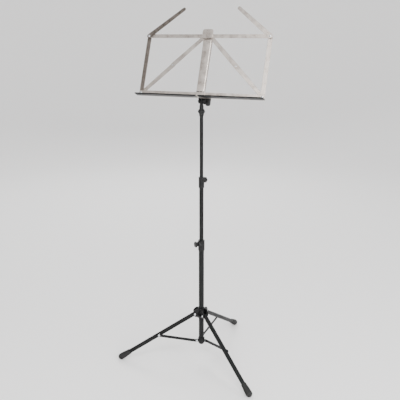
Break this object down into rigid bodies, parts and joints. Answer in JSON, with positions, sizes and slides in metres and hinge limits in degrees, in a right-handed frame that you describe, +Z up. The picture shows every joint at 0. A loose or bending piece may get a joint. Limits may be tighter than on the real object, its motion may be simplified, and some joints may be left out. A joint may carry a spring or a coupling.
{
  "type": "music stand",
  "caption": "Folding sheet-music stand: black telescopic tubes on a folding tripod, with an open nickel-plated folding desk, page arms and a narrow shelf.",
  "frame": {"origin": "on the floor, in the middle of the rectangle that the stand fits in", "axes": "+Z up along the tubes; the desk faces the player on the -Y side; +X to the player's right"},
  "size_m": [0.5651, 0.5211, 1.3247],
  "materials": {
    "coated_steel": "semi-gloss black coating on steel",
    "black_plastic": "black moulded plastic, satin",
    "bush_plastic": "natural acetal",
    "rubber": "black rubber, satin",
    "nickel": "satin nickel plating on steel strip"
  },
  "bodies": {
    "stand": {"base_tube": "coated_steel", "base_end_cap": "black_plastic", "end_cap_screw": "nickel", "brace_collar": "black_plastic", "lower_collar": "black_plastic", "lower_bush": "bush_plastic"},
    "hub": {"leg_hub": "black_plastic"},
    "hub_knob": {"hub_knob": "black_plastic"},
    "lower_knob": {"lower_knob": "black_plastic"},
    "middle": {"middle_tube": "coated_steel", "middle_tube_guide": "bush_plastic", "upper_collar": "black_plastic"},
    "upper_knob": {"upper_knob": "black_plastic"},
    "upper": {"upper_tube": "coated_steel", "top_socket": "black_plastic"},
    "head": {"head_stem": "coated_steel"},
    "desk": {"tilt_fork": "coated_steel", "tilt_bolt": "nickel", "centre_post": "nickel", "top_cap": "nickel", "centre_bracket": "nickel"},
    "tilt_knob": {"tilt_knob": "black_plastic"},
    "leg_left": {"leg_left": "coated_steel", "foot_left": "rubber", "leg_pin_left": "nickel"},
    "brace_left": {"brace_left": "coated_steel", "brace_pin_left": "nickel", "brace_rivet_left": "nickel"},
    "leg_right": {"leg_right": "coated_steel", "foot_right": "rubber", "leg_pin_right": "nickel"},
    "brace_right": {"brace_right": "coated_steel", "brace_pin_right": "nickel", "brace_rivet_right": "nickel"},
    "leg_rear": {"leg_rear": "coated_steel", "foot_rear": "rubber", "leg_pin_rear": "nickel"},
    "brace_rear": {"brace_rear": "coated_steel", "brace_pin_rear": "nickel", "brace_rivet_rear": "nickel"},
    "ledge_left": {"ledge_strip_left": "nickel", "shelf_left": "coated_steel", "lower_corner_rivet_left": "nickel"},
    "side_strut_left": {"side_strut_left": "nickel"},
    "stay_outer_left": {"stay_outer_left": "nickel"},
    "top_strip_left": {"top_strip_left": "nickel", "upper_corner_rivet_left": "nickel"},
    "page_arm_left": {"page_arm_left": "nickel"},
    "stay_inner_left": {"stay_inner_left": "nickel", "stay_rivet_left": "nickel"},
    "ledge_right": {"ledge_strip_right": "nickel", "shelf_right": "coated_steel", "lower_corner_rivet_right": "nickel"},
    "side_strut_right": {"side_strut_right": "nickel"},
    "stay_outer_right": {"stay_outer_right": "nickel"},
    "top_strip_right": {"top_strip_right": "nickel", "upper_corner_rivet_right": "nickel"},
    "page_arm_right": {"page_arm_right": "nickel"},
    "stay_inner_right": {"stay_inner_right": "nickel", "stay_rivet_right": "nickel"}
  },
  "joints": [
    {"name": "hub_slide", "type": "slide", "parent": "stand", "child": "hub", "axis": [0, 0, 1], "range_m": [0, 0.2009]},
    {"name": "leg_fold_left", "type": "hinge", "parent": "hub", "child": "leg_left", "pos_m": [-0.00643, -0.07403, 0.1915], "axis": [0.4067, -0.9135, 0], "range_deg": [0, 55.61]},
    {"name": "brace_fold_left", "type": "hinge", "parent": "stand", "child": "brace_left", "pos_m": [-0.00003, -0.07118, 0.079], "axis": [0.4067, -0.9135, 0], "range_deg": [-74.79, 0]},
    {"name": "leg_fold_right", "type": "hinge", "parent": "hub", "child": "leg_right", "pos_m": [0.03664, -0.07855, 0.1915], "axis": [0.5878, 0.809, 0], "range_deg": [0, 55.61]},
    {"name": "brace_fold_right", "type": "hinge", "parent": "stand", "child": "brace_right", "pos_m": [0.03097, -0.07444, 0.079], "axis": [0.5878, 0.809, 0], "range_deg": [-74.79, 0]},
    {"name": "leg_fold_rear", "type": "hinge", "parent": "hub", "child": "leg_rear", "pos_m": [0.01902, -0.039, 0.1915], "axis": [-0.9945, 0.1045, 0], "range_deg": [0, 55.61]},
    {"name": "brace_fold_rear", "type": "hinge", "parent": "stand", "child": "brace_rear", "pos_m": [0.01829, -0.04596, 0.079], "axis": [-0.9945, 0.1045, 0], "range_deg": [-74.79, 0]},
    {"name": "hub_knob_turn", "type": "hinge", "parent": "hub", "child": "hub_knob", "pos_m": [0.01432, -0.08375, 0.1885], "axis": [-0.1045, -0.9945, 0], "range_deg": [0, 360]},
    {"name": "lower_knob_turn", "type": "hinge", "parent": "stand", "child": "lower_knob", "pos_m": [0.00277, -0.07848, 0.4765], "axis": [-0.682, -0.7314, 0], "range_deg": [0, 360]},
    {"name": "middle_slide", "type": "slide", "parent": "stand", "child": "middle", "axis": [0, 0, 1], "range_m": [-0.2, 0.11]},
    {"name": "upper_knob_turn", "type": "hinge", "parent": "middle", "child": "upper_knob", "pos_m": [0.02091, -0.04437, 0.7185], "axis": [0.225, 0.9744, 0], "range_deg": [0, 360]},
    {"name": "upper_slide", "type": "slide", "parent": "middle", "child": "upper", "axis": [0, 0, 1], "range_m": [-0.218, 0.105]},
    {"name": "desk_swivel", "type": "hinge", "parent": "upper", "child": "head", "pos_m": [0.01641, -0.06386, 0.991], "axis": [0, 0, 1], "continuous": true},
    {"name": "desk_tilt", "type": "hinge", "parent": "head", "child": "desk", "pos_m": [0.01641, -0.06386, 1.0065], "axis": [1, 0, 0], "range_deg": [-60, 22]},
    {"name": "tilt_knob_turn", "type": "hinge", "parent": "desk", "child": "tilt_knob", "pos_m": [0.03641, -0.06386, 1.0065], "axis": [1, 0, 0], "range_deg": [0, 360]},
    {"name": "desk_fold_left", "type": "hinge", "parent": "desk", "child": "ledge_left", "pos_m": [0.00641, -0.08495, 1.03012], "axis": [0, 0.9272, -0.3746], "range_deg": [0, 85]},
    {"name": "side_strut_fold_left", "type": "hinge", "parent": "ledge_left", "child": "side_strut_left", "pos_m": [-0.20959, -0.08495, 1.03012], "axis": [0, 0.9272, -0.3746], "range_deg": [-85.01, 0]},
    {"name": "stay_outer_fold_left", "type": "hinge", "parent": "ledge_left", "child": "stay_outer_left", "pos_m": [-0.20959, -0.08495, 1.03012], "axis": [0, 0.9272, -0.3746], "range_deg": [0, 58.19]},
    {"name": "top_strip_fold_left", "type": "hinge", "parent": "desk", "child": "top_strip_left", "pos_m": [0.00641, -0.0059, 1.22575], "axis": [0, 0.9272, -0.3746], "range_deg": [0, 85.01]},
    {"name": "stay_inner_fold_left", "type": "hinge", "parent": "desk", "child": "stay_inner_left", "pos_m": [0.00641, -0.0059, 1.22575], "axis": [0, 0.9272, -0.3746], "range_deg": [-29.51, 0]},
    {"name": "page_arm_turn_left", "type": "hinge", "parent": "top_strip_left", "child": "page_arm_left", "pos_m": [-0.20959, -0.0059, 1.22575], "axis": [0, 0.9272, -0.3746], "range_deg": [-80, 37]},
    {"name": "desk_fold_right", "type": "hinge", "parent": "desk", "child": "ledge_right", "pos_m": [0.02641, -0.08495, 1.03012], "axis": [0, -0.9272, 0.3746], "range_deg": [0, 85]},
    {"name": "side_strut_fold_right", "type": "hinge", "parent": "ledge_right", "child": "side_strut_right", "pos_m": [0.24241, -0.08495, 1.03012], "axis": [0, -0.9272, 0.3746], "range_deg": [-85.01, 0]},
    {"name": "stay_outer_fold_right", "type": "hinge", "parent": "ledge_right", "child": "stay_outer_right", "pos_m": [0.24241, -0.08495, 1.03012], "axis": [0, -0.9272, 0.3746], "range_deg": [0, 58.19]},
    {"name": "top_strip_fold_right", "type": "hinge", "parent": "desk", "child": "top_strip_right", "pos_m": [0.02641, -0.0059, 1.22575], "axis": [0, -0.9272, 0.3746], "range_deg": [0, 85.01]},
    {"name": "stay_inner_fold_right", "type": "hinge", "parent": "desk", "child": "stay_inner_right", "pos_m": [0.02641, -0.0059, 1.22575], "axis": [0, -0.9272, 0.3746], "range_deg": [-29.51, 0]},
    {"name": "page_arm_turn_right", "type": "hinge", "parent": "top_strip_right", "child": "page_arm_right", "pos_m": [0.24241, -0.0059, 1.22575], "axis": [0, -0.9272, 0.3746], "range_deg": [-80, 37]}
  ],
  "couplings": [
    {"joint": "leg_fold_left", "follows": "hub_slide", "rad_per_m": 4.8301},
    {"joint": "brace_fold_left", "follows": "hub_slide", "rad_per_m": -6.4965},
    {"joint": "leg_fold_right", "follows": "hub_slide", "rad_per_m": 4.8301},
    {"joint": "brace_fold_right", "follows": "hub_slide", "rad_per_m": -6.4965},
    {"joint": "leg_fold_rear", "follows": "hub_slide", "rad_per_m": 4.8301},
    {"joint": "brace_fold_rear", "follows": "hub_slide", "rad_per_m": -6.4965},
    {"joint": "side_strut_fold_left", "follows": "desk_fold_left", "ratio": -1},
    {"joint": "top_strip_fold_left", "follows": "desk_fold_left", "ratio": 1},
    {"joint": "stay_outer_fold_left", "follows": "desk_fold_left", "ratio": 0.68448},
    {"joint": "stay_inner_fold_left", "follows": "desk_fold_left", "ratio": -0.34702},
    {"joint": "side_strut_fold_right", "follows": "desk_fold_right", "ratio": -1},
    {"joint": "top_strip_fold_right", "follows": "desk_fold_right", "ratio": 1},
    {"joint": "stay_outer_fold_right", "follows": "desk_fold_right", "ratio": 0.68448},
    {"joint": "stay_inner_fold_right", "follows": "desk_fold_right", "ratio": -0.34702}
  ]
}
